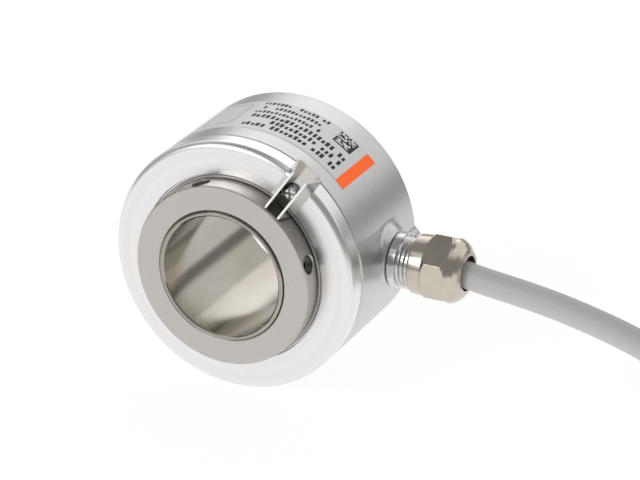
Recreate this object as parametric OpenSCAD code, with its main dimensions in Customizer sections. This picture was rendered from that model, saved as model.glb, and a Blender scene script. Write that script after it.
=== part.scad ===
// Hollow-shaft rotary encoder lying on its side: the spin axis runs along Y, the
// clamping ring faces -Y and the cable leaves along +X. Millimetres.
// Origin: on the spin axis, in the plane of the front face of the flange.

/* [Shaft and clamping ring] */
// Bore that the machine shaft goes into, diameter
bore_d = 28; // [26:0.1:28.2]
// Distance that the shaft stands out of the front face
shaft_front = 5.4; // [5.3:0.1:7]
// Outer diameter of the clamping ring
ring_d = 41.8; // [40:0.1:42]
// Angle of the first set screw from the cable side
set_screw_angle = 16.5; // [0:0.5:90]

/* [Housing] */
// Outer diameter of flange and housing
body_d = 58; // [58:0.5:60]
// Thickness of the flange ring that shows in front of the joint
flange_h = 4.9; // [4.5:0.1:5]
// Rounding of the front edge
edge_r = 1.5; // [0.5:0.1:2]
// Depth from the front face to the rear face
body_h = 32.9; // [32.9:0.1:36]

/* [Torque stop] */
// Direction of the torque stop from the cable side
stop_angle = 54.5; // [35:0.5:75]
// How far its side walls stand in front of the flange
stop_h = 5.2; // [4:0.1:6]
// Clear width between the front edges of its side walls
stop_gap = 3.1; // [3.05:0.05:3.6]
// Radius that its outer end reaches
stop_reach = 33.4; // [31:0.1:36]

/* [Cable and gland] */
// Distance of the cable axis behind the front face
gland_y = 20; // [19.5:0.1:20.5]
// Width across flats of the cap nut
nut_af = 14; // [13:0.5:15]
// Diameter of the cable
cable_d = 6; // [5.6:0.1:6]

/* [Label] */
// Angle at which the label starts, from the cable side
label_start = 40.4; // [38:0.2:60]
// Angle at which the label ends
label_end = 124; // [90:1:130]

/* [Hidden] */

eps = 0.01;                  // overshoot of a cut
round_fn = 64;               // any value above 12 is a true circle
steel = [0.72, 0.7, 0.67];
bright = [0.86, 0.86, 0.87];
nickel = [0.78, 0.75, 0.68];
dark_rubber = [0.12, 0.12, 0.12];
cable_grey = [0.66, 0.67, 0.69];

body_r = body_d / 2;
bore_r = bore_d / 2;
shaft_r = 15;                // seat of the 30 x 42 x 7 bearings
shaft_back = 32.6;           // rear end of the hollow shaft
collar_r = 16.2;             // shoulder that carries the front inner ring
collar_y = [-0.1, 3.2];
ring_y = [-5.0, -0.15];
ring_mid = -2.6;             // station of the set screws
set_screw_r = 2;             // M4
set_screws_at = [set_screw_angle, set_screw_angle + 90];

bearing_w = 7;
bearing_bore = shaft_r + 0.02;
bearing_out = 21;
pitch_r = 18;
ball_r = 1.75;
race_r = 1.8;                // groove radius, 0.05 mm clear of the balls
ball_count = 18;
front_bearing_y = 3.25;
rear_bearing_y = 11.25;

spigot_r = 26.5;             // part of the flange that enters the housing
spigot_y = 11;
hub_r = 23.2;                // tube that holds the bearings
hub_y = 19.2;
cup_r = 26.6;                // inside radius of the housing
cup_y = 30;                  // inside face of its rear wall
wall_hole_r = 19.5;          // seat of the rear seal
tie_r = 24.6;                // pitch radius of the long housing screws
tie_at = [30, 150, 270];
post_r = 24.75;              // pitch radius of the board posts
post_at = [90, 210, 330];
board_y = [26, 27.5];
board_r = [16.4, 26.2];
disc_y = [22.5, 23.3];
disc_r = 22.8;

boss_r = 6.2;                // round boss that the gland screws into
boss_x = 30.3;
ridge_back_r = 10;
ridge_tilt = 5;              // slope of the round back along the spin axis
thread_r = 6.1;
thread_pitch = 1;
nut_x = [35.4, 39.6, 43.8, 47.4];
cable_r = cable_d / 2;
stub_x = [25.9, 42];

sheet = 0.5;                 // thickness of the torque stop
stop_base = 3.3;             // half width of its base, mid sheet
stop_in = 21.4;              // where it starts, just outside the clamping ring
stop_screw_r = 26;
label_y = [9.9, 26];
label_t = 0.1;

floor_z = -body_r;
// bundle of five turns, wound two wide, with the last one on top of the outer column
coil_x = 117;
coil_y = 53;
coil_mid = 30;
tie_t = 0.6;
coil_z = floor_z + tie_t;
tail_angle = 90;             // where the free end leaves the bundle
tail_from = 14;
tail_to = 26;
core_len = 16;

// route of the cable from the gland to the bundle, chosen by hand
route = [
    [42, 20, 0], [43.5, 20, 0], [45.5, 20, -0.2], [48, 20, -0.6], [52, 20, -1.2], [57, 20, -1.8],
    [63, 20, -2.6], [69, 20, -3.6], [75, 20, -4.9], [81, 20, -6.4], [86, 20, -7.9], [90, 20, -9.4],
    [94, 20, -11], [98, 20, -12.3], [102, 20, -13.1], [106, 20, -13.4]
];

// ---- helpers ----

// solid of revolution about the spin axis, points are [radius, y]
module turned(points) rotate([-90, 0, 0]) rotate_extrude($fn = round_fn) polygon(points);

// plain ring about the spin axis
module ring(r_in, r_out, y_from, y_to)
    turned([[r_in, y_from], [r_out, y_from], [r_out, y_to], [r_in, y_to]]);

// solid of revolution about the cable axis, points are [radius, x]
module turned_x(points)
    translate([0, gland_y, 0]) rotate([0, 90, 0]) rotate_extrude($fn = round_fn) polygon(points);

// child drawn with its own +X pointing outwards at an angle from the cable side
module at_angle(a) rotate([0, -a, 0]) children();

// cylinder along Y at a pitch radius and angle
module pin_y(r, pitch, a, y_from, y_to)
    at_angle(a) translate([pitch, y_from, 0]) rotate([-90, 0, 0])
        cylinder(r = r, h = y_to - y_from, $fn = round_fn);

// cylinder pointing outwards from the spin axis
module pin_out(r, from, to, y)
    translate([from, y, 0]) rotate([0, 90, 0]) cylinder(r = r, h = to - from, $fn = round_fn);

// sector of a disc about the spin axis, used to cut arcs
module sector(a0, a1, r, y_from, y_to)
    translate([0, y_to, 0]) rotate([90, 0, 0]) linear_extrude(y_to - y_from)
        polygon(concat(
            [[0, 0]],
            [for (i = [0:8]) let (a = a0 + (a1 - a0) * i / 8) [r * cos(a), r * sin(a)]]
        ));

// ---- rotor ----

module hollow_shaft() color(bright) difference() {
    turned([
        [bore_r, -shaft_front + 0.3], [bore_r + 0.3, -shaft_front], [shaft_r - 0.25, -shaft_front],
        [shaft_r, -shaft_front + 0.25], [shaft_r, collar_y[0]], [collar_r, collar_y[0]],
        [collar_r, collar_y[1]], [shaft_r, collar_y[1]], [shaft_r, 18.4], [14.7, 18.4],
        [14.7, 19.2], [shaft_r, 19.2], [shaft_r, shaft_back - 0.25], [shaft_r - 0.25, shaft_back],
        [bore_r + 0.3, shaft_back], [bore_r, shaft_back - 0.3]
    ]);
    for (a = set_screws_at) at_angle(a) pin_out(set_screw_r + 0.05, 12, 16, ring_mid);
}

module clamping_ring() color(steel) difference() {
    turned([
        [shaft_r + 0.03, ring_y[0] + 0.35], [shaft_r + 0.38, ring_y[0]],
        [ring_d / 2 - 0.35, ring_y[0]], [ring_d / 2, ring_y[0] + 0.35],
        [ring_d / 2, ring_y[1] - 0.2], [ring_d / 2 - 0.2, ring_y[1]], [shaft_r + 0.03, ring_y[1]]
    ]);
    for (a = set_screws_at) at_angle(a) {
        pin_out(set_screw_r + 0.03, 13, 22, ring_mid);
        translate([ring_d / 2 - 0.35, ring_mid, 0]) rotate([0, 90, 0])
            cylinder(r1 = set_screw_r - 0.05, r2 = set_screw_r + 0.35, h = 0.4 + eps, $fn = round_fn);
    }
}

module set_screws() color([0.3, 0.3, 0.32])
    for (a = set_screws_at) at_angle(a) difference() {
        pin_out(set_screw_r, 14.4, 19.4, ring_mid);
        translate([17.4, ring_mid, 0]) rotate([0, 90, 0]) cylinder(r = 1.15, h = 2.1, $fn = 6);
    }

module bearing_inner(y0) color(bright) difference() {
    ring(bearing_bore, 17.1, y0, y0 + bearing_w);
    race(y0);
}

module bearing_outer(y0) color(bright) difference() {
    ring(18.9, bearing_out, y0, y0 + bearing_w);
    race(y0);
}

// the tunnel that the balls run in
module race(y0)
    translate([0, y0 + bearing_w / 2, 0]) rotate([-90, 0, 0]) rotate_extrude($fn = round_fn)
        translate([pitch_r, 0]) circle(r = race_r, $fn = round_fn);

module balls(y0) color("silver")
    for (i = [0:ball_count - 1]) at_angle(i * 360 / ball_count)
        translate([pitch_r, y0 + bearing_w / 2, 0]) sphere(r = ball_r, $fn = 32);

module cage(y0) color([0.75, 0.62, 0.4]) difference() {
    ring(17.4, 18.6, y0 + 1, y0 + bearing_w - 1);
    for (i = [0:ball_count - 1]) at_angle(i * 360 / ball_count)
        pin_out(ball_r + 0.08, 16, 20, y0 + bearing_w / 2);
}

module inner_spacer() color(bright)
    ring(bearing_bore, 16.8, front_bearing_y + bearing_w, rear_bearing_y);

module shaft_circlip() color("dimgray") difference() {
    ring(14.75, 17, 18.45, 19.15);
    at_angle(200) translate([16, 18.8, 0]) cube([4, 2, 3.4], center = true);
}

module disc_hub() color(bright) turned([
    [shaft_r + 0.02, 19.4], [17.2, 19.4], [17.2, 21.4], [19, 21.4], [19, disc_y[0]], [shaft_r + 0.02, disc_y[0]]
]);

module code_disc() color([0.55, 0.75, 0.78, 0.5]) ring(15.4, disc_r, disc_y[0], disc_y[1]);

// ---- flange and housing ----

module flange() color(bright) difference() {
    turned(concat(
        [[21.75, 0.1], [21.85, 0]],
        [for (i = [0:8]) let (a = 90 - i * 90 / 8)
            [body_r - edge_r + edge_r * cos(a), edge_r - edge_r * sin(a)]],
        [
            [body_r, flange_h - 0.25], [body_r - 0.25, flange_h], [spigot_r, flange_h],
            [spigot_r, 5.4], [25.4, 5.4], [25.4, 6.9], [spigot_r, 6.9],
            [spigot_r, spigot_y], [hub_r, spigot_y], [hub_r, hub_y],
            [bearing_out + 0.02, hub_y], [bearing_out + 0.02, 18.95], [22, 18.95], [22, 18.25],
            [bearing_out + 0.02, 18.25], [bearing_out + 0.02, 3.2], [20, 3.2], [20, 0.95], [21.75, 0.95]
        ]
    ));
    pin_y(1.28, stop_screw_r, stop_angle, -1, 5);
    for (a = tie_at) pin_y(1.28, tie_r, a, 7.3, spigot_y + 1);
    for (a = post_at) pin_y(1.05, post_r, a, 7.3, spigot_y + 1);
}

// low ridge on the cable side: a round back that rises from the joint to the boss,
// and a narrow flat-topped rib from the boss to the rear face
module ridge() {
    intersection() {
        translate([body_r - ridge_back_r, flange_h + 0.1, 0]) rotate([0, 0, -ridge_tilt]) rotate([-90, 0, 0])
            cylinder(r = ridge_back_r, h = 14.4, $fn = round_fn);
        translate([0, flange_h + 0.15, -15]) cube([40, 30, 30]);
    }
    translate([0, body_h - 0.2, 0]) rotate([90, 0, 0]) linear_extrude(12)
        polygon([[26, -4.6], [28.5, -2.1], [boss_x - 0.2, -0.8], [boss_x - 0.2, 0.8], [28.5, 2.1], [26, 4.6]]);
}

module housing() color(bright) difference() {
    union() {
        turned([
            [0, flange_h], [body_r - 0.25, flange_h], [body_r, flange_h + 0.25], [body_r, body_h - 0.5],
            [body_r - 0.5, body_h], [0, body_h]
        ]);
        ridge();
        turned_x([[0, 24], [boss_r, 24], [boss_r, boss_x - 0.15], [boss_r - 0.15, boss_x], [0, boss_x]]);
    }
    turned([
        [0, flange_h - 1], [cup_r, flange_h - 1], [cup_r, cup_y], [wall_hole_r, cup_y],
        [wall_hole_r, 32.1], [17.4, 32.1], [17.4, body_h + 1], [0, body_h + 1]
    ]);
    translate([20, gland_y, 0]) rotate([0, 90, 0]) cylinder(r = 4.8, h = 12, $fn = round_fn);
    for (a = tie_at) {
        pin_y(1.35, tie_r, a, 29, body_h + 1);
        at_angle(a) translate([tie_r, body_h - 1.2, 0]) rotate([-90, 0, 0])
            cylinder(r1 = 1.35, r2 = 2.55 + eps, h = 1.2 + eps, $fn = round_fn);
    }
}

module seal_cover() color(steel) turned([
    [16.6, 0.15], [21.2, 0.15], [21.4, 0.35], [21.4, 0.9], [16.6, 0.9]
]);

module front_seal() color(dark_rubber) turned([
    [17.4, 0.95], [19.95, 0.95], [19.95, 3.15], [17.4, 3.15], [17.4, 2.4], [collar_r + 0.05, 2.1],
    [collar_r + 0.05, 1.8], [17.4, 1.4]
]);

// spring washer in waves, swept as a flat band around the axis
wave_steps = 72;
wave_section = [[19.1, -0.12], [20.8, -0.12], [20.8, 0.12], [19.1, 0.12]];
function wave_y(a) = 10.75 + 0.33 * cos(4 * a);

module wave_spring() color("gainsboro") polyhedron(
    [for (i = [0:wave_steps - 1], p = wave_section) let (a = i * 360 / wave_steps)
        [p[0] * cos(a), wave_y(a) + p[1], p[0] * sin(a)]],
    [for (i = [0:wave_steps - 1], j = [0:3]) let (n = (i + 1) % wave_steps, k = (j + 1) % 4) each [
        [4 * i + j, 4 * i + k, 4 * n + k],
        [4 * i + j, 4 * n + k, 4 * n + j]
    ]]
);

module bore_circlip() color("dimgray") difference() {
    ring(19.9, 21.9, 18.3, 18.9);
    at_angle(140) translate([21, 18.6, 0]) cube([4, 2, 4], center = true);
}

module rear_seal() color(dark_rubber) turned([
    [16.2, 30.05], [wall_hole_r - 0.02, 30.05], [wall_hole_r - 0.02, 32.05], [16.2, 32.05],
    [16.2, 31.5], [shaft_r + 0.05, 31.2], [shaft_r + 0.05, 30.9], [16.2, 30.6]
]);

module housing_o_ring() color(dark_rubber)
    translate([0, 6.15, 0]) rotate([-90, 0, 0]) rotate_extrude($fn = round_fn)
        translate([26, 0]) circle(r = 0.58, $fn = round_fn);

module housing_screws() color("lightgray")
    for (a = tie_at) at_angle(a) difference() {
        union() {
            translate([tie_r, 7.6, 0]) rotate([-90, 0, 0])
                cylinder(r = 1.25, h = body_h - 8.8, $fn = round_fn);
            translate([tie_r, body_h - 1.25, 0]) rotate([-90, 0, 0])
                cylinder(r1 = 1.25, r2 = 2.4, h = 1.15, $fn = round_fn);
        }
        translate([tie_r, body_h - 1, 0]) rotate([-90, 0, 0]) cylinder(r = 0.9, h = 2, $fn = 6);
    }

// ---- electronics ----

module standoffs() color("gold")
    for (a = post_at) at_angle(a) translate([post_r, 0, 0]) {
        translate([0, 7.5, 0]) rotate([-90, 0, 0]) cylinder(r = 1, h = 3.6, $fn = round_fn);
        difference() {
            translate([0, spigot_y, 0]) rotate([-90, 0, 0]) cylinder(r = 1.6, h = 15, $fn = 6);
            translate([0, 20, 0]) rotate([-90, 0, 0]) cylinder(r = 0.85, h = 7, $fn = round_fn);
        }
    }

module circuit_board() color([0.1, 0.4, 0.2]) difference() {
    ring(board_r[0], board_r[1], board_y[0], board_y[1]);
    for (a = post_at) pin_y(1, post_r, a, 25, 29);
    for (a = tie_at) pin_y(1.5, tie_r, a, 25, 29);
}

module board_screws() color("silver")
    for (a = post_at) at_angle(a) translate([post_r - 0.1, 0, 0]) {
        translate([0.1, 21.5, 0]) rotate([-90, 0, 0]) cylinder(r = 0.8, h = 6.1, $fn = round_fn);
        difference() {
            translate([0, board_y[1], 0]) rotate([-90, 0, 0]) cylinder(r = 1.6, h = 1.2, $fn = round_fn);
            translate([0, board_y[1] + 1, 0]) cube([4, 1, 0.4], center = true);
        }
    }

// chips, capacitors and coils on the rear side of the board
module board_parts() color([0.15, 0.15, 0.16]) {
    for (a = [45, 122, 190, 238, 292])
        at_angle(a) translate([21, board_y[1] + 0.7, 0]) cube([4, 1.4, 5.2], center = true);
    for (a = [66, 74, 105, 166, 174, 254, 262, 310])
        at_angle(a) translate([20, board_y[1] + 0.4, 0]) cube([1.6, 0.8, 0.9], center = true);
}

module board_connector() color("white") difference() {
    at_angle(0) translate([21.6, board_y[1] + 1.1, 0]) cube([3.2, 2.2, 8], center = true);
    at_angle(0) translate([22.4, board_y[1] + 1.2, 0]) cube([2.4, 1.2, 6.8], center = true);
}

module sensor_block() color([0.1, 0.1, 0.12])
    at_angle(180) translate([20.6, 24.85, 0]) cube([5, 2.3, 8], center = true);

module lamp_block() color([0.2, 0.2, 0.22])
    at_angle(180) difference() {
        translate([21.7, 20.65, 0]) cube([3, 2.9, 8], center = true);
        translate([21.7, 22.1, 0]) rotate([-90, 0, 0]) cylinder(r = 1, h = 2, center = true, $fn = round_fn);
    }

// ---- label and torque stop ----

module label() color([0.8, 0.8, 0.8]) intersection() {
    ring(body_r, body_r + label_t, label_y[0], label_y[1]);
    sector(label_start, label_end, 60, label_y[0] - 1, label_y[1] + 1);
}

// bent sheet channel lying on the front face, its side walls leaning inwards.
// The wall section is drawn across the channel and pushed out along it.
wall_top = (stop_gap + sheet) / 2;
module side_wall(side) multmatrix([[0, 0, 1, stop_in], [0, -1, 0, 0], [1, 0, 0, 0], [0, 0, 0, 1]])
    linear_extrude(stop_reach - stop_in - 0.5) polygon([
        [side * (stop_base - sheet / 2), 0], [side * (stop_base + sheet / 2), 0],
        [side * (wall_top + sheet / 2), stop_h], [side * (wall_top - sheet / 2), stop_h]
    ]);

module torque_stop() color(steel) at_angle(stop_angle) difference() {
    union() {
        multmatrix([[1, 0, 0, stop_in], [0, 0, -1, 0], [0, 1, 0, 0], [0, 0, 0, 1]])
            linear_extrude(sheet) polygon([
                [0, -stop_base], [stop_reach - stop_in - 0.75, -stop_base],
                [stop_reach - stop_in, -stop_base + 0.75], [stop_reach - stop_in, stop_base - 0.75],
                [stop_reach - stop_in - 0.75, stop_base], [0, stop_base]
            ]);
        for (side = [-1, 1]) side_wall(side);
    }
    translate([stop_screw_r, 1, 0]) rotate([90, 0, 0]) cylinder(r = 1.35, h = 3, $fn = round_fn);
}

// pan head screw with a cross recess
module torque_stop_screw() color([0.5, 0.52, 0.55]) at_angle(stop_angle)
    translate([stop_screw_r, -sheet, 0]) rotate([-90, 0, 0]) difference() {
        union() {
            rotate_extrude($fn = round_fn)
                polygon([[0, -1.35], [1.1, -1.35], [1.5, -1.2], [1.75, -0.9], [1.9, -0.4], [1.9, 0], [0, 0]]);
            cylinder(r = 1.25, h = 5, $fn = round_fn);
        }
        rotate([0, 0, stop_angle]) for (turn = [0, 90]) rotate([0, 0, turn])
            translate([0, 0, -1.35]) cube([2.5, 0.5, 1.3], center = true);
    }

// ---- gland and cable ----

module gland_body() color(bright) turned_x(concat(
    [[3.35, 27], [4.75, 27], [4.75, boss_x + 0.1], [boss_r - 0.25, boss_x + 0.1],
        [boss_r, boss_x + 0.35], [boss_r, 32.3], [5.6, 32.5]],
    [for (i = [0:5]) each [[5.5, 32.7 + i * thread_pitch], [thread_r, 33 + i * thread_pitch],
        [thread_r, 33.2 + i * thread_pitch], [5.5, 33.5 + i * thread_pitch]]],
    [[5.5, 39], [4.4, 39], [3.35, 36]]
));

module gland_o_ring() color(dark_rubber)
    translate([26.3, gland_y, 0]) rotate([0, 90, 0]) rotate_extrude($fn = round_fn)
        translate([4.3, 0]) circle(r = 0.5, $fn = round_fn);

module gland_seal() color(dark_rubber) turned_x([
    [cable_r + 0.04, 37.2], [3.7, 37.2], [4.3, 39.1], [4.3, 42], [cable_r + 0.04, 42]
]);

module gland_clamp() color([0.85, 0.85, 0.8]) difference() {
    turned_x([[cable_r + 0.5, 42.05], [4.9, 42.05], [4.9, 43.6], [4.5, 44.6], [cable_r + 0.5, 44.6]]);
    for (a = [0:60:300]) translate([43.9, gland_y, 0]) rotate([a, 0, 0]) translate([0, 4, 0])
        cube([2.4, 3, 0.5], center = true);
}

module gland_nut() color(nickel) difference() {
    intersection() {
        turned_x([
            [0, nut_x[0]], [6.4, nut_x[0]], [6.65, nut_x[0] + 0.3], [6.9, nut_x[1] - 0.9], [8.2, nut_x[1] + 0.4],
            [8.2, nut_x[2] - 0.3], [7.3, nut_x[2] + 0.5], [7, 45.1], [6.3, 46.2], [5.3, 47],
            [4.6, nut_x[3]], [0, nut_x[3]]
        ]);
        union() {
            translate([nut_x[0] - 1, gland_y, 0]) rotate([0, 90, 0]) rotate([0, 0, 3])
                cylinder(r = nut_af / sqrt(3), h = 13.5, $fn = 6);
            translate([44.2, gland_y, 0]) rotate([0, 90, 0]) cylinder(r = 7.2, h = 6, $fn = round_fn);
        }
    }
    turned_x([
        [0, nut_x[0] - 1], [6.15, nut_x[0] - 1], [6.15, 39.3], [5, 39.6], [5, 43.7], [3.95, 46.2],
        [3.95, nut_x[3] + 1], [0, nut_x[3] + 1]
    ]);
}

module cable_stub() color(cable_grey)
    translate([stub_x[0], gland_y, 0]) rotate([0, 90, 0])
        cylinder(r = cable_r, h = stub_x[1] - stub_x[0], $fn = round_fn);

// five cores from the cable end to the board
module cable_core_leads() color("brown")
    for (i = [-2:2]) translate([0, 0, i * 1.1]) {
        translate([24.8, 21.1, 0]) rotate([-90, 0, 0]) cylinder(r = 0.45, h = 4.9, $fn = round_fn);
        translate([25.9, 21.1, 0]) rotate([0, 0, 180]) rotate_extrude(angle = 90, $fn = round_fn)
            translate([1.1, 0]) circle(r = 0.45, $fn = round_fn);
    }

function unit(v) = v / norm(v);
function tangent(p, i) = unit(p[min(i + 1, len(p) - 1)] - p[max(i - 1, 0)]);
sides = 12;

// tube swept along a list of points that all lie in one upright plane
module swept(p, r) {
    points = [for (i = [0:len(p) - 1], k = [0:sides - 1])
        let (t = tangent(p, i), a = k * 360 / sides, up = [-t[2], 0, t[0]])
            p[i] + r * (cos(a) * [0, 1, 0] + sin(a) * up)];
    sides_faces = [for (i = [0:len(p) - 2], k = [0:sides - 1]) let (n = (k + 1) % sides) each [
        [i * sides + k, (i + 1) * sides + k, (i + 1) * sides + n],
        [i * sides + k, (i + 1) * sides + n, i * sides + n]
    ]];
    last = (len(p) - 1) * sides;
    caps = [[for (k = [0:sides - 1]) k], [for (k = [0:sides - 1]) last + sides - 1 - k]];
    polyhedron(points, concat(sides_faces, caps));
}

module cable() color(cable_grey) swept(route, cable_r);

module cable_coil() color(cable_grey) translate([coil_x, coil_y, coil_z]) rotate_extrude($fn = round_fn)
    translate([coil_mid, 0]) polygon([
        [-cable_d, 1], [1 - cable_d, 0], [cable_d - 1, 0], [cable_d, 1], [cable_d, 3 * cable_d - 1],
        [cable_d - 1, 3 * cable_d], [1, 3 * cable_d], [0, 3 * cable_d - 1], [0, 2 * cable_d],
        [1 - cable_d, 2 * cable_d], [-cable_d, 2 * cable_d - 1]
    ]);

// outline of a strap tie around the bundle, seen across the bundle
module tie_outline(grow) offset(delta = grow) polygon([
    [-cable_d, 0], [cable_d, 0], [cable_d, 3 * cable_d], [0, 3 * cable_d], [-cable_d, 2 * cable_d]
]);

// three strap ties, which the bundle rests on
module coil_ties() color(dark_rubber)
    for (a = [60, 190, 300]) translate([coil_x, coil_y, coil_z]) rotate([0, 0, a])
        translate([coil_mid, 1.8, 0]) rotate([90, 0, 0]) linear_extrude(3.6) difference() {
            tie_outline(tie_t);
            tie_outline(0);
        }

// straight free end of the cable on the floor
module cable_tail() color(cable_grey) translate([coil_x, coil_y, 0]) rotate([0, 0, tail_angle])
    translate([coil_mid + cable_r, tail_from, floor_z + cable_r]) rotate([-90, 0, 0])
        cylinder(r = cable_r, h = tail_to - tail_from, $fn = round_fn);

// bare cores with crimped ferrules, sloping from the cable's end down to the floor
module cable_end_cores() color("brown") translate([coil_x, coil_y, 0]) rotate([0, 0, tail_angle])
    for (i = [-2:2]) translate([coil_mid + cable_r + i * 1.1, tail_to, floor_z + cable_r])
        rotate([-90 - 7.3, 0, -5 * i]) {
            cylinder(r = 0.5, h = core_len - 4, $fn = round_fn);
            translate([0, 0, core_len - 6]) cylinder(r = 0.75, h = 6, $fn = round_fn);
        }

// ---- parts ----

hollow_shaft();
clamping_ring();
set_screws();
bearing_inner(front_bearing_y);  // front_bearing_inner
bearing_inner(rear_bearing_y);  // rear_bearing_inner
inner_spacer();
shaft_circlip();
disc_hub();
code_disc();
balls(front_bearing_y);  // front_balls
cage(front_bearing_y);  // front_cage
balls(rear_bearing_y);  // rear_balls
cage(rear_bearing_y);  // rear_cage
flange();
housing();
seal_cover();
front_seal();
bearing_outer(front_bearing_y);  // front_bearing_outer
wave_spring();
bearing_outer(rear_bearing_y);  // rear_bearing_outer
bore_circlip();
rear_seal();
housing_o_ring();
housing_screws();
standoffs();
circuit_board();
board_screws();
board_parts();
board_connector();
sensor_block();
lamp_block();
label();
torque_stop();
torque_stop_screw();
gland_body();
gland_o_ring();
gland_seal();
gland_clamp();
gland_nut();
cable_core_leads();
cable_stub();
cable();
cable_coil();
cable_tail();
coil_ties();
cable_end_cores();
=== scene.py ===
import math

import bpy
import numpy as np
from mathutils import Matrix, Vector


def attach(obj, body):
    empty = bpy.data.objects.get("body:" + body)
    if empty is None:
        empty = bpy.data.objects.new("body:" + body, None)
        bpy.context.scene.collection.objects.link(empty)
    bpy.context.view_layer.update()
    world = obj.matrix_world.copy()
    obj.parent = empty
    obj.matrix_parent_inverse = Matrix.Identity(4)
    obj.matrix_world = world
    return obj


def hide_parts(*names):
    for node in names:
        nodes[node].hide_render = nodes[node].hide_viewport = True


# Hollow-shaft encoder on a pale floor. Metres, spin axis along Y, cable along +X.

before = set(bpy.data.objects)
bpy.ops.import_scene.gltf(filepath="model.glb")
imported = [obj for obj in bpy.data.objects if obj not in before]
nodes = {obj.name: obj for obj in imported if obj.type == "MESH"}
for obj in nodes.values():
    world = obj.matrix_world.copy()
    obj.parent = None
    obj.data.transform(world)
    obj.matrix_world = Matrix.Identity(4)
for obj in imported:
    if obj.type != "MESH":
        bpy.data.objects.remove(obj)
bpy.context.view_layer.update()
mm = 0.001

camera = {
    "place": (0.27897, -0.52183, 0.27608),
    "lookAt": (0.0179, 0.0071, 0.0073),
    "lens": 168.7,
    "sensor": 36.0,
}

studio = {
    "floorZ": -0.0293,
    "floorSize": 8.0,
    "floorGlow": 0.925,
    "brightTo": 0.28,
    "dimFrom": 0.8,
    "dimLevel": 0.38,
    "roomLevel": 0.3,
    "boxes": (                          # level, from turn, to turn, bottom, top, softness in degrees
        (1.05, 76, 150, 0.26, 0.76, 8),     # behind, high
        (0.75, 22, 76, 0.2, 0.8, 8),        # behind on the right
        (0.7, -150, -98, 0.1, 0.8, 8),      # in front on the left
        (0.3, 150, 182, 0.05, 0.8, 8),      # left wall
        (0.7, -45, 45, 0.78, 0.97, 8),      # overhead on the right
    ),
    "boxEdge": 0.06,                    # softness of a box's bottom and top
    "boxTint": (1.0, 0.995, 0.985),
    "lamps": (                          # name, place, width and height, watts
        ("backBox", (-0.35, 1.3, 0.8), (1.2, 0.5), 1.2),
        ("leftBox", (-0.6, -1.2, 0.7), (0.7, 0.6), 5),
    ),
}


# camera, floor and light

def linked(name, data):
    # a new object in the scene
    obj = bpy.data.objects.new(name, data)
    bpy.context.scene.collection.objects.link(obj)
    return obj


def makeCamera(c):
    data = bpy.data.cameras.new("viewCamera")
    data.lens, data.sensor_width = c["lens"], c["sensor"]
    data.clip_start, data.clip_end = 0.01, 50
    cam = linked("viewCamera", data)
    cam.location = c["place"]
    aim = Vector(c["lookAt"]) - Vector(c["place"])
    cam.rotation_euler = aim.to_track_quat("-Z", "Y").to_euler()
    bpy.context.scene.camera = cam


# shader maths

class Val:
    # one output socket of a node, with arithmetic that adds Math nodes
    def __init__(self, tree, socket):
        self.tree, self.socket = tree, socket

    def calc(self, operation, *args):
        return self.tree.add("ShaderNodeMath", {"operation": operation}, dict(enumerate(args)))

    def __add__(self, other):
        return self.calc("ADD", self, other)

    def __radd__(self, other):
        return self.calc("ADD", other, self)

    def __sub__(self, other):
        return self.calc("SUBTRACT", self, other)

    def __rsub__(self, other):
        return self.calc("SUBTRACT", other, self)

    def __mul__(self, other):
        return self.calc("MULTIPLY", self, other)

    def __rmul__(self, other):
        return self.calc("MULTIPLY", other, self)

    def __truediv__(self, other):
        return self.calc("DIVIDE", self, other)

    def __rtruediv__(self, other):
        return self.calc("DIVIDE", other, self)

    def __abs__(self):
        return self.calc("ABSOLUTE", self)

    def __pow__(self, other):
        return self.calc("POWER", self, other)

    def __mod__(self, other):
        return self.calc("FLOORED_MODULO", self, other)

    def __gt__(self, other):
        return self.calc("GREATER_THAN", self, other)

    def __lt__(self, other):
        return self.calc("LESS_THAN", self, other)

    def sin(self):
        return self.calc("SINE", self)

    def floor(self):
        return self.calc("FLOOR", self)

    def atLeast(self, other):
        return self.calc("MAXIMUM", self, other)

    def step(self, low, high):
        # smooth rise from 0 at low to 1 at high
        settings = {"interpolation_type": "SMOOTHSTEP"}
        inputs = {"Value": self, "From Min": low, "From Max": high}
        return self.tree.add("ShaderNodeMapRange", settings, inputs)

    def within(self, low, high, soft):
        # 1 between low and high, with soft sides
        return self.step(low - soft, low + soft) * (1 - self.step(high - soft, high + soft))

    def between(self, low, high):
        # maps 0..1 onto low..high
        return self * (high - low) + low


class Tree:
    # a tree of nodes, with the one method that adds them
    def __init__(self, tree):
        self.tree = tree
        self.known = {}

    def add(self, kind, settings=None, inputs=None, out=0):
        node = self.tree.nodes.new(kind)
        for key, value in (settings or {}).items():
            setattr(node, key, value)
        for key, value in (inputs or {}).items():
            self.put(node.inputs[key], value)
        return Val(self, node.outputs[out])

    def put(self, socket, value):
        if isinstance(value, Val):
            self.tree.links.new(value.socket, socket)
        else:
            socket.default_value = value

    def split(self, kind, source):
        # the three parts of a vector or a colour
        node = self.add(kind, None, {0: source}).socket.node
        return [Val(self, part) for part in node.outputs]

    def mix(self, factor, low, high):
        # colour low where factor is 0, colour high where it is 1
        low, high = [c if isinstance(c, Val) else (*c, 1) for c in (low, high)]
        return self.add("ShaderNodeMix", {"data_type": "RGBA"}, {0: factor, 6: low, 7: high}, 2)


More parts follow.
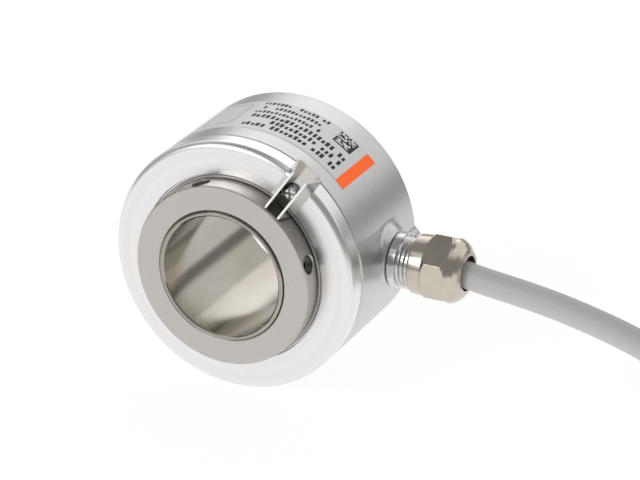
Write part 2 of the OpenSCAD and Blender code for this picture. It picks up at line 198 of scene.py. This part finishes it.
class Finish(Tree):
    # a material with one Principled shader
    def __init__(self, name, **constants):
        self.material = bpy.data.materials.new(name)
        self.material.use_nodes = True
        super().__init__(self.material.node_tree)
        self.shader = self.tree.nodes["Principled BSDF"]
        self.set(**constants)

    def set(self, **inputs):
        for key, value in inputs.items():
            self.put(self.shader.inputs[key.replace("_", " ")], value)

    def place(self):
        # object coordinates in millimetres: x, y, z
        if "place" not in self.known:
            coords = self.add("ShaderNodeTexCoord", out=3)
            self.known["vector"] = coords
            self.known["place"] = [part * 1000.0 for part in self.split("ShaderNodeSeparateXYZ", coords)]
        return self.known["place"]

    def vector(self):
        self.place()
        return self.known["vector"]

    def radius(self):
        # distance from the spin axis
        x, _, z = self.place()
        return (x * x + z * z) ** 0.5

    def angle(self):
        # degrees from the cable side, upwards
        x, _, z = self.place()
        return z.calc("ARCTAN2", z, x) * (180 / math.pi)

    def rings(self, along, perMm, detail=3.0, rough=0.6):
        # noise that depends on one length only, so it draws parallel lines
        settings = {"noise_dimensions": "1D"}
        return self.add("ShaderNodeTexNoise", settings, {
            "W": along * perMm, "Scale": 1.0, "Detail": detail, "Roughness": rough,
        })

    def grain(self, perMm, detail=3.0, rough=0.6, stretch=(1, 1, 1)):
        # cloudy noise, stretched along the axes
        inputs = {"Vector": self.vector(), "Scale": stretch}
        moved = self.add("ShaderNodeMapping", {"vector_type": "POINT"}, inputs)
        return self.add("ShaderNodeTexNoise", None, {
            "Vector": moved, "Scale": perMm * 1000, "Detail": detail, "Roughness": rough,
        })

    def bump(self, height, depthMm, edgeMm=0.0):
        # height 0..1 becomes relief of that depth, over slightly rounded edges
        inputs = {"Height": height, "Distance": depthMm * mm, "Strength": 1.0}
        if edgeMm:
            inputs["Normal"] = self.add("ShaderNodeBevel", {"samples": 4}, {"Radius": edgeMm * mm})
        self.set(Normal=self.add("ShaderNodeBump", None, inputs))


def dress(finish, *names):
    for name in names:
        obj = nodes[name] if name in nodes else bpy.data.objects[name]
        obj.data.materials.clear()
        obj.data.materials.append(finish.material)


# floor and world

def makeFloor(s):
    half = s["floorSize"] / 2
    mesh = bpy.data.meshes.new("floorSheet")
    corners = [(x * half, y * half, s["floorZ"]) for x, y in ((-1, -1), (1, -1), (1, 1), (-1, 1))]
    mesh.from_pydata(corners, [], [(0, 1, 2, 3)])
    floor = linked("floorSheet", mesh)
    glowSheet = Finish("glowingFloor", Base_Color=(0.12, 0.12, 0.12, 1), Roughness=0.9, Specular_IOR_Level=0.0)
    x, y = glowSheet.place()[:2]
    # painted pool of light: the floor glows white round the object and dims to a lower glow further out
    far = ((x * x + y * y) ** 0.5).step(s["brightTo"] * 1000, s["dimFrom"] * 1000)
    glow = glowSheet.mix(far, (1.0, 1.0, 1.0), (s["dimLevel"],) * 3)
    glowSheet.set(Emission_Color=glow, Emission_Strength=s["floorGlow"])
    mesh.materials.append(glowSheet.material)


def makeWorld(s):
    # a dim room with large soft boxes, so that bare metal has light and dark to mirror
    world = bpy.data.worlds.new("studioWorld")
    bpy.context.scene.world = world
    world.use_nodes = True
    room = Tree(world.node_tree)
    x, y, z = room.split("ShaderNodeSeparateXYZ", room.add("ShaderNodeTexCoord"))
    turn = y.calc("ARCTAN2", y, x) * (180 / math.pi)
    light = s["roomLevel"]
    for level, low, high, bottom, top, soft in s["boxes"]:
        light = turn.within(low, high, soft) * z.within(bottom, top, s["boxEdge"]) * level + light
    back = world.node_tree.nodes["Background"]
    room.put(back.inputs["Color"], room.mix(light, (0.0, 0.0, 0.0), s["boxTint"]))
    back.inputs["Strength"].default_value = 1.0


def makeLamp(name, place, size, power):
    # a soft rectangle that faces the object
    data = bpy.data.lights.new(name, "AREA")
    data.shape, data.size, data.size_y = "RECTANGLE", size[0], size[1]
    data.energy = power
    lamp = linked(name, data)
    lamp.location = place
    lamp.rotation_euler = (-Vector(place)).to_track_quat("-Z", "Y").to_euler()


bpy.context.scene.view_settings.view_transform = "Standard"
makeCamera(camera)
makeFloor(studio)
makeWorld(studio)
for lamp in studio["lamps"]:
    makeLamp(*lamp)
print("stage: camera, floor and light")


# cable

cable = {
    "diameter": 6 * mm,
    "route": [
        (42, 20, 0), (43.5, 20, 0), (45.5, 20, -0.2), (48, 20, -0.6), (52, 20, -1.2), (57, 20, -1.8),
        (63, 20, -2.6), (69, 20, -3.6), (75, 20, -4.9), (81, 20, -6.4), (86, 20, -7.9),
        (90, 20, -9.4), (94, 20, -11), (98, 20, -12.3), (102, 20, -13.1), (106, 20, -13.4),
    ],
    "bundle": (117, 53, -28.4),     # middle of the bundle, where it rests on its ties
    "columns": (27, 33),            # radii of the turns
    "layers": (3, 9, 15),           # heights of the turns
    "firstChange": 222,             # angle at the middle of the first change of seat
    "changeEvery": 327,             # degrees from one change to the next
    "changeOver": 90,               # degrees that a change takes
    "tailAngle": 90,
    "tail": ((6, 0.3), (12, 0.8), (18, 1), (26, 1)),    # way past the last turn, and share of the drop
    "tailDrop": 0.6,
    "pointsPerTurn": 36,
    "spacing": 1.6,                 # from one ring of the tube to the next
    "sides": 20,
}


def bundlePoints(c):
    # circles round the bundle's middle: radius and height go from seat to seat in smooth steps
    cx, cy, cz = c["bundle"]
    inner, outer = c["columns"]
    low, middle, top = c["layers"]
    seats = np.array([(outer, top), (outer, middle), (inner, middle), (inner, low), (outer, low)], float)
    changes = [c["firstChange"] + c["changeEvery"] * k for k in range(len(seats) - 1)]
    last = c["tailAngle"] + 4 * 360
    angles = np.linspace(-90, last, int((last + 90) / 360 * c["pointsPerTurn"]))
    place = np.repeat(seats[:1], len(angles), 0)
    for k, middleAngle in enumerate(changes):
        t = np.clip((angles - middleAngle) / c["changeOver"] + 0.5, 0, 1)[:, None]
        place += (seats[k + 1] - seats[k]) * (t * t * (3 - 2 * t))
    a = np.radians(angles)
    turns = np.stack([cx + place[:, 0] * np.cos(a), cy + place[:, 0] * np.sin(a), cz + place[:, 1]], 1)
    out = np.array([-math.sin(a[-1]), math.cos(a[-1]), 0])
    tail = [turns[-1] + out * way + (0, 0, -c["tailDrop"] * share) for way, share in c["tail"]]
    return np.vstack([turns, tail])


def smoothLine(points, spacing):
    # Catmull-Rom curve through the points, a cubic in t between two of them, at even spacing
    p = np.vstack([2 * points[0] - points[1], points, 2 * points[-1] - points[-2]])
    t = np.linspace(0, 1, 12, endpoint=False)[:, None, None]
    a, b, c, d = p[:-3], p[1:-2], p[2:-1], p[3:]
    square = (2 * a - 5 * b + 4 * c - d) * t ** 2
    cube = (3 * b - a - 3 * c + d) * t ** 3
    fine = 0.5 * (2 * b + (c - a) * t + square + cube)
    fine = np.vstack([fine.transpose(1, 0, 2).reshape(-1, 3), points[-1:]])
    run = np.concatenate([[0], np.cumsum(np.linalg.norm(np.diff(fine, axis=0), axis=1))])
    even = np.linspace(0, run[-1], int(round(run[-1] / spacing)) + 1)
    return np.stack([np.interp(even, run, fine[:, i]) for i in range(3)], 1)


def gridMesh(name, points, closeRound=True, capEnds=False, along=None, around=None):
    # points[i, j] is row i, place j: quads join neighbouring rows, and the rows may close on themselves
    rows, cols = points.shape[:2]
    i, j = np.meshgrid(np.arange(rows - 1), np.arange(cols if closeRound else cols - 1), indexing="ij")
    k = (j + 1) % cols
    quads = np.stack([i * cols + j, i * cols + k, (i + 1) * cols + k, (i + 1) * cols + j], -1).reshape(-1, 4)
    faces = quads.tolist()
    if capEnds:
        faces += [list(range(cols))[::-1], [(rows - 1) * cols + n for n in range(cols)]]
    mesh = bpy.data.meshes.new(name)
    mesh.from_pydata(points.reshape(-1, 3).tolist(), [], faces)
    mesh.polygons.foreach_set("use_smooth", np.arange(len(faces)) < len(quads))     # flat caps
    if along is not None:
        for label, values in (("runAlong", along), ("runAround", around)):
            layer = mesh.attributes.new(label, "FLOAT", "POINT")
            layer.data.foreach_set("value", np.ascontiguousarray(values.reshape(-1), dtype=np.float32))
    mesh.update()
    return linked(name, mesh)


def sweptTube(name, line, radius, sides):
    # a round section carried along the line, kept upright, with length and turn stored on each point
    ahead = np.gradient(line, axis=0)
    ahead /= np.linalg.norm(ahead, axis=1)[:, None]
    side = np.cross(np.array([0, 0, 1.0]), ahead)
    side /= np.linalg.norm(side, axis=1)[:, None]
    up = np.cross(ahead, side)
    turn = np.linspace(0, 2 * np.pi, sides, endpoint=False)
    rim = np.cos(turn)[None, :, None] * side[:, None] + np.sin(turn)[None, :, None] * up[:, None]
    run = np.concatenate([[0], np.cumsum(np.linalg.norm(np.diff(line, axis=0), axis=1))])
    return gridMesh(
        name, line[:, None] + radius * rim, capEnds=True,
        along=np.repeat(run[:, None], sides, 1), around=np.repeat(turn[None], len(run), 0),
    )


def makeCable(c):
    points = np.vstack([np.array(c["route"], float), bundlePoints(c)]) * mm
    line = smoothLine(points, c["spacing"] * mm)
    tube = sweptTube("cableSleeve", line, c["diameter"] / 2, c["sides"])
    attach(tube, "stator")
    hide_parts("cable", "cable_coil", "cable_tail")


makeCable(cable)


# smooth blend of the housing into the boss

ridge = {
    "bodyR": 29.0, "front": 5.15, "rear": 32.72,
    "edge": 32.4,                       # the housing's rear edge is broken from here
    "reach": 10.5,                      # half width of the skin
    "bossY": 20.0, "bossX": 30.3, "bossR": 6.25,
    "flank": 1.5, "flankPower": 1.25, "flankTo": 6,     # how the boss falls off outside its rim
    "backCrest": (29.12, 30.3), "backR": (26.0, 10.4), "bendPower": 0.8,
    "backFrom": 5.0, "backTo": 18.5, "backEnd": 23,     # the round back rises, and stops behind the boss
    "ribHalf": 1.2, "ribSlope": 1.05, "ribDrop": 0.1, "ribFrom": 20,
    "endSlope": 3, "far": 9,            # how steeply back and rib run out, and the widest run counted
    "backFillet": 0.3, "fillet": 0.8, "ribFillet": 0.12,
    "sink": (0.05, 0.35), "sinkFrom": 7.5, "sinkOver": 2.5,     # the skin sinks into the housing at its sides
    "above": 0.02,                      # highest over the boss's face
    "holeR": 5.6, "skirt": 0.6, "rays": 160, "steps": 60,
}


def softMax(a, b, k):
    # the larger of two heights, with the inner corner between them rounded
    return 0.5 * (a + b + np.sqrt((a - b) ** 2 + k * k))


def ridgeHeight(c, y, z):
    # height over the spin axis at station y, z to the side: the housing's circle, the round back, the
    # boss with its flank falling by a power of the distance, and the rib, joined by softMax, less the sink
    body = np.sqrt(c["bodyR"] ** 2 - z ** 2) - np.clip(y - c["edge"], 0, 1)
    t = np.clip((y - c["backFrom"]) / (c["backTo"] - c["backFrom"]), 0, 1)
    crest = c["backCrest"][0] + (c["backCrest"][1] - c["backCrest"][0]) * t
    bend = c["backR"][0] + (c["backR"][1] - c["backR"][0]) * t ** c["bendPower"]
    backRun = c["endSlope"] * np.clip(y - c["backEnd"], 0, c["far"])
    back = crest - bend + np.sqrt(np.maximum(bend ** 2 - z ** 2, 0)) - backRun
    out = np.hypot(y - c["bossY"], z) - c["bossR"]
    boss = c["bossX"] - c["flank"] * np.clip(out, 0, c["flankTo"]) ** c["flankPower"]
    ribSide = c["ribSlope"] * np.clip(np.abs(z) - c["ribHalf"], 0, c["far"])
    ribRun = c["endSlope"] * np.clip(c["ribFrom"] - y, 0, c["far"])
    rib = c["bossX"] - c["ribDrop"] - ribSide - ribRun
    blend = softMax(softMax(softMax(body, back, c["backFillet"]), boss, c["fillet"]), rib, c["ribFillet"])
    least, more = c["sink"]
    sink = least + more * np.clip((np.abs(z) - c["sinkFrom"]) / c["sinkOver"], 0, 1) ** 2
    return np.minimum(blend, c["bossX"] + c["above"]) - sink


def makeRidge(c):
    # rays from the boss to a rectangle round it; the last row drops below the housing
    turn = np.linspace(0, 2 * np.pi, c["rays"], endpoint=False)[None]
    t = np.linspace(0, 1, c["steps"])[:, None]
    cosine, sine = np.cos(turn), np.sin(turn)
    with np.errstate(divide="ignore"):
        toRear = np.where(cosine > 0, (c["rear"] - c["bossY"]) / cosine, np.inf)
        toFront = np.where(cosine < 0, (c["front"] - c["bossY"]) / cosine, np.inf)
        toSide = c["reach"] / np.abs(sine)
    edge = np.minimum(np.minimum(toRear, toFront), toSide)
    rho = c["holeR"] + (edge - c["holeR"]) * t
    y, z = c["bossY"] + rho * cosine, rho * sine
    x = ridgeHeight(c, y, z)
    x = np.vstack([x, x[-1:] - c["skirt"]])
    y, z = np.vstack([y, y[-1:]]), np.vstack([z, z[-1:]])
    skin = gridMesh("bossBlend", np.stack([x, y, z], 2)[::-1] * mm)
    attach(skin, "stator")


makeRidge(ridge)
print("stage: boss blend")


# finishes

def turnedAluminium(name, low, high, rough):
    # fine tool lines round the spin axis on the side, the rounded edge and the face alike
    f = Finish(name, Metallic=1.0)
    along = f.place()[1] + f.radius()
    fine = f.rings(along, perMm=5.5, detail=4, rough=0.75)
    broad = f.rings(along, perMm=0.55, detail=3, rough=0.6)
    cloud = f.grain(0.05, detail=3, rough=0.55)
    f.set(Base_Color=f.mix(broad * 0.6 + cloud * 0.4, low, high))
    f.set(Roughness=(fine * 0.5 + cloud * 0.5).between(*rough))
    f.bump(fine * 0.75 + broad * 0.25, depthMm=0.012, edgeMm=0.12)
    return f


def stainless():
    # brushed round, with a fine grain
    f = Finish("stainless", Metallic=1.0)
    along = f.place()[1] + f.radius()
    fine = f.rings(along, perMm=7, detail=3, rough=0.7)
    speck = f.grain(3.2, detail=2, rough=0.7)
    f.set(Base_Color=f.mix(speck * 0.6 + fine * 0.4, (0.34, 0.32, 0.30), (0.72, 0.69, 0.66)))
    f.set(Roughness=speck.between(0.26, 0.42))
    f.bump(fine * 0.6 + speck * 0.4, depthMm=0.045, edgeMm=0.1)
    return f


def polishedSteel():
    # polished bore, with wiping marks
    f = Finish("polishedSteel", Metallic=1.0)
    fine = f.rings(f.place()[1] + f.radius(), perMm=4, detail=4, rough=0.7)
    wipe = f.grain(0.08, detail=3, rough=0.6, stretch=(1, 0.3, 1))
    f.set(Base_Color=f.mix(wipe, (0.27, 0.24, 0.195), (0.52, 0.495, 0.455)))
    f.set(Roughness=(fine * 0.6 + wipe * 0.4).between(0.08, 0.2))
    f.bump(fine, depthMm=0.007, edgeMm=0.08)
    return f


def bearingSteel():
    f = Finish("bearingSteel", Metallic=1.0)
    fine = f.rings(f.place()[1] + f.radius(), perMm=3, detail=2)
    f.set(Base_Color=f.mix(fine, (0.6, 0.6, 0.62), (0.7, 0.7, 0.71)), Roughness=fine.between(0.08, 0.16))
    return f


torqueStop = {
    "angle": 54.5,                          # direction of the channel from the cable side
    "foot": 3.3, "lean": 0.29,              # half width at the foot, and how much it narrows per millimetre
    "edge": -5.1,                           # the sheared top edges lie in front of this, and are painted near white there: painted highlight
    "shadeTo": (25.5, 29.0),                 # the inside of the channel is painted dark up to here: painted shade and reflection
}


def rolledSheet(c):
    # spring steel strip: rolling lines, a painted highlight on the sheared top edges, and painted shade and
    # reflection inside towards the shaft
    f = Finish("rolledSheet", Metallic=1.0)
    x, y, z = f.place()
    a = math.radians(c["angle"])
    along = x * math.cos(a) + z * math.sin(a)
    across = abs(z * math.cos(a) - x * math.sin(a))
    streak = f.grain(0.9, detail=3, rough=0.6, stretch=(1, 0.15, 1))
    inside = (across < y * c["lean"] + c["foot"]) * (y < -0.3)
    # painted shade: the inside of the channel is darkened towards the shaft, standing in for the dark it
    # mirrors
    channelShade = inside * (1 - along.step(*c["shadeTo"])) * streak.between(0.75, 1.0)
    steel = f.mix(streak, (0.50, 0.48, 0.45), (0.68, 0.66, 0.63))
    shadedSteel = f.mix(channelShade, steel, (0.14, 0.135, 0.125))
    # painted highlight: the sheared top edges are painted near white, standing in for the bright line on them
    f.set(Base_Color=f.mix(y < c["edge"], shadedSteel, (0.88, 0.87, 0.85)))
    f.set(Roughness=streak.between(0.07, 0.16))
    f.bump(streak, depthMm=0.003, edgeMm=0.1)
    return f


def plainMetal(name, low, high, rough, relief=0.006):
    f = Finish(name, Metallic=1.0)
    speck = f.grain(2.0, detail=3, rough=0.6)
    f.set(Base_Color=f.mix(speck, low, high), Roughness=speck.between(*rough))
    f.bump(speck, relief, edgeMm=0.08)
    return f


def nickel():
    f = Finish("nickelPlate", Metallic=1.0)
    cloud = f.grain(0.25, detail=3, rough=0.6)
    speck = f.grain(4, detail=2, rough=0.6)
    f.set(Base_Color=f.mix(cloud, (0.54, 0.485, 0.415), (0.63, 0.575, 0.505)))
    f.set(Roughness=(cloud * 0.5 + speck * 0.5).between(0.14, 0.26))
    f.bump(speck * 0.6 + cloud * 0.4, depthMm=0.006, edgeMm=0.18)
    return f


def rubber():
    f = Finish("blackRubber", Specular_IOR_Level=0.35)
    speck = f.grain(5, detail=3, rough=0.6)
    f.set(Base_Color=f.mix(speck, (0.012, 0.012, 0.013), (0.03, 0.03, 0.03)))
    f.set(Roughness=speck.between(0.45, 0.65))
    f.bump(speck, depthMm=0.015)
    return f


def cableSheath():
    # extruded sheath: faint lines along it and a slight orange-peel
    f = Finish("cableSheath", Specular_IOR_Level=0.4)
    around = f.add("ShaderNodeAttribute", {"attribute_name": "runAround"}, out=2)
    along = f.add("ShaderNodeAttribute", {"attribute_name": "runAlong"}, out=2) * 1000.0
    lines = f.rings(around.sin() * 9 + along * 0.004, perMm=1, detail=3)
    peel = f.grain(1.6, detail=2, rough=0.5)
    f.set(Base_Color=f.mix(lines * 0.5 + peel * 0.5, (0.50, 0.505, 0.505), (0.58, 0.585, 0.58)))
    f.set(Roughness=peel.between(0.36, 0.5))
    f.bump(lines * 0.4 + peel * 0.6, depthMm=0.02)
    return f


def mouldedPlastic(name, low, high, rough=(0.35, 0.5)):
    f = Finish(name)
    speck = f.grain(3, detail=3, rough=0.6)
    f.set(Base_Color=f.mix(speck, low, high), Roughness=speck.between(*rough))
    f.bump(speck, depthMm=0.01)
    return f


def boardLaminate():
    # solder mask with copper tracks in a regular grid of short runs
    f = Finish("boardLaminate")
    x, _, z = f.place()
    cells = f.add("ShaderNodeTexBrick", None, {
        "Vector": f.add("ShaderNodeCombineXYZ", None, {0: x, 1: z, 2: 0.0}), "Scale": 0.5,
        "Mortar Size": 0.03, "Color1": (0, 0, 0, 1), "Color2": (0, 0, 0, 1), "Mortar": (1, 1, 1, 1),
    })
    f.set(Base_Color=f.mix(cells, (0.01, 0.07, 0.03), (0.03, 0.16, 0.07)), Roughness=cells.between(0.3, 0.45))
    f.bump(cells, depthMm=0.02)
    return f


def discGlass():
    # clear disc with a ring of fine dark lines
    f = Finish("discGlass", Base_Color=(0.75, 0.85, 0.86, 1), Roughness=0.05, IOR=1.5)
    lines = ((f.angle() * 2.0) % 1.0 > 0.5) * f.radius().within(19.6, 21.8, 0.05)
    f.set(Base_Color=f.mix(lines, (0.75, 0.85, 0.86), (0.03, 0.03, 0.03)), Alpha=lines.between(0.35, 1.0))
    return f


def coreInsulation():
    # a colour for each core, picked by place from three
    f = Finish("coreInsulation")
    x, y, z = f.place()
    pick = ((x * 0.8 + y * 0.35 + z * 0.5) * 0.9).floor() % 3.0
    colour = f.mix(pick > 0.5, (0.25, 0.1, 0.04), (0.75, 0.75, 0.72))
    colour = f.mix(pick > 1.5, colour, (0.1, 0.35, 0.12))
    f.set(Base_Color=colour, Roughness=f.grain(3).between(0.35, 0.5))
    return f


label = {
    "orange": (40.6, 45.9, 9.9, 25.9),      # angles and stations of the coloured bar
    "firstRow": 12.5,                       # station of the first of six rows
    "rowStep": 2.48,
    "lastLarge": 2.5,                       # rows up to here are large, the others small
    "start": (49.5, 66.5),                  # where the large and the small rows start
    "end": 98.0,
    "shorter": 12,                          # the second row ends this much earlier
    "height": (1.8, 1.35),
    "pitch": (2.3, 1.9),                    # degrees per block
    "blockFrom": 0.12,                      # shares of the pitch and of the height that a block fills
    "blockTo": (0.7, 0.9),
    "blockTop": (0.74, 1.0),
    "lowShare": 0.4,                        # share of low blocks
    "filled": 0.87,                         # share of places with a block
    "code": (50.5, 60.5, 20.3, 25.3, 0.5),  # angles and stations of the square of dots, and their size
    "dotsAbove": 0.45,
    "seeds": (57, 13, 7.7),                 # spread the random numbers over rows, columns and lines
    "frame": (103.0, 118.0, 12.5, 24.0, 0.16),      # angles and stations of the empty frame, and its line
    "ink": (0.018, 0.018, 0.02),
    "orangeInk": (0.95, 0.13, 0.012),
}


def randomThree(f, index):
    # three fixed random numbers for each whole number
    colour = f.add("ShaderNodeTexWhiteNoise", {"noise_dimensions": "1D"}, {"W": index}, out=1)
    return f.split("ShaderNodeSeparateColor", colour)


def blockRows(f, angle, y, c):
    # plain solid blocks in the size of print: tall or short, wide or narrow
    line = (y - c["firstRow"]) / c["rowStep"] + 0.5
    row = line.floor()
    small = row > c["lastLarge"]
    start = small.between(*c["start"])
    place = (angle - start) / small.between(*c["pitch"])
    first, second = randomThree(f, place.floor() + row * c["seeds"][0])[:2]
    u = place % 1.0
    v = ((line % 1.0) - 0.5) * c["rowStep"] / small.between(*c["height"]) + 0.5
    wide = (u > c["blockFrom"]) * (u < first.between(*c["blockTo"]))
    block = wide * (v > 0.0) * (v < (second > c["lowShare"]).between(*c["blockTop"]))
    shortRow = (row > 0.5) * (row < 1.5)
    inside = (angle > start) * (angle < c["end"] - shortRow * c["shorter"]) * (row > -0.5) * (row < 5.5)
    return block * (first < c["filled"]) * inside


def labelFoil(c):
    # silver foil with rows of blocks, a square of dots, an empty frame and a coloured bar
    f = Finish("labelFoil", Specular_IOR_Level=0.3)
    y = f.place()[1]
    angle = f.angle()
    brush = f.grain(1.4, detail=3, rough=0.65, stretch=(0.25, 1, 0.25))
    ink = blockRows(f, angle, y, c)
    low, high, front, back, dot = c["code"]
    column = ((angle - low) / (dot * 2)).floor()
    line = ((y - front) / dot).floor()
    dots = randomThree(f, column * c["seeds"][1] + line * c["seeds"][2])[0] > c["dotsAbove"]
    ruled = (column < 0.5).atLeast(line < 0.5).atLeast(dots)
    ink = ink.atLeast(ruled * angle.within(low, high, 0.05) * y.within(front, back, 0.03))
    low, high, front, back, thin = c["frame"]
    outer = angle.within(low, high, 0.1) * y.within(front, back, 0.05)
    inner = angle.within(low + thin * 2, high - thin * 2, 0.1) * y.within(front + thin, back - thin, 0.05)
    ink = ink.atLeast(outer * (1 - inner))
    low, high, front, back = c["orange"]
    bar = angle.within(low, high, 0.08) * y.within(front, back, 0.04)
    foil = f.mix(brush, (0.74, 0.745, 0.75), (0.84, 0.845, 0.85))
    printed = f.mix(ink, foil, c["ink"])
    f.set(Base_Color=f.mix(bar, printed, c["orangeInk"]))
    # painted light: the orange bar glows a little on top of its ink
    f.set(Emission_Color=f.mix(bar, (0.0, 0.0, 0.0), c["orangeInk"]), Emission_Strength=0.4)
    inked = ink.atLeast(bar)
    f.set(Metallic=(1 - inked) * 0.25, Roughness=inked.between(0.42, 0.5))
    f.bump(brush * 0.5 + inked * 0.5, depthMm=0.008)
    return f


castHousing = turnedAluminium("castHousing", (0.52, 0.52, 0.52), (0.66, 0.66, 0.66), (0.24, 0.4))
turnedFlange = turnedAluminium("turnedFlange", (0.76, 0.76, 0.765), (0.87, 0.87, 0.872), (0.2, 0.36))
dress(castHousing, "housing", "bossBlend")
dress(turnedFlange, "flange", "disc_hub")
dress(stainless(), "clamping_ring", "seal_cover")
dress(polishedSteel(), "hollow_shaft", "inner_spacer")
dress(bearingSteel(), "front_bearing_inner", "rear_bearing_inner",
      "front_bearing_outer", "rear_bearing_outer", "front_balls", "rear_balls")
dress(plainMetal("cageBrass", (0.6, 0.42, 0.2), (0.72, 0.54, 0.28), (0.25, 0.4)), "front_cage", "rear_cage")
dress(plainMetal("postBrass", (0.65, 0.48, 0.22), (0.76, 0.6, 0.3), (0.2, 0.32)), "standoffs")
dress(plainMetal("darkScrew", (0.16, 0.16, 0.155), (0.3, 0.3, 0.29), (0.16, 0.3)), "set_screws")
dress(plainMetal("springSteel", (0.28, 0.27, 0.26), (0.4, 0.39, 0.37), (0.22, 0.34)),
      "shaft_circlip", "bore_circlip", "wave_spring")
dress(plainMetal("zincScrew", (0.62, 0.63, 0.65), (0.75, 0.76, 0.78), (0.16, 0.28)),
      "housing_screws", "board_screws", "torque_stop_screw")
dress(rolledSheet(torqueStop), "torque_stop")
dress(nickel(), "gland_nut")
dress(plainMetal("silverThread", (0.6, 0.6, 0.595), (0.78, 0.78, 0.77), (0.1, 0.24), 0.01), "gland_body")
dress(rubber(), "front_seal", "rear_seal", "housing_o_ring", "gland_o_ring", "gland_seal")
dress(mouldedPlastic("clampPlastic", (0.5, 0.48, 0.42), (0.58, 0.56, 0.5)), "gland_clamp")
dress(mouldedPlastic("chipPlastic", (0.015, 0.015, 0.017), (0.03, 0.03, 0.032)),
      "board_parts", "sensor_block", "lamp_block")
dress(mouldedPlastic("connectorPlastic", (0.68, 0.67, 0.62), (0.75, 0.74, 0.7)), "board_connector")
dress(mouldedPlastic("tieStrap", (0.015, 0.015, 0.016), (0.035, 0.035, 0.036), (0.5, 0.7)), "coil_ties")
dress(boardLaminate(), "circuit_board")
dress(discGlass(), "code_disc")
dress(coreInsulation(), "cable_end_cores", "cable_core_leads")
dress(cableSheath(), "cableSleeve", "cable_stub")
dress(labelFoil(label), "label")
print("stage: finishes")
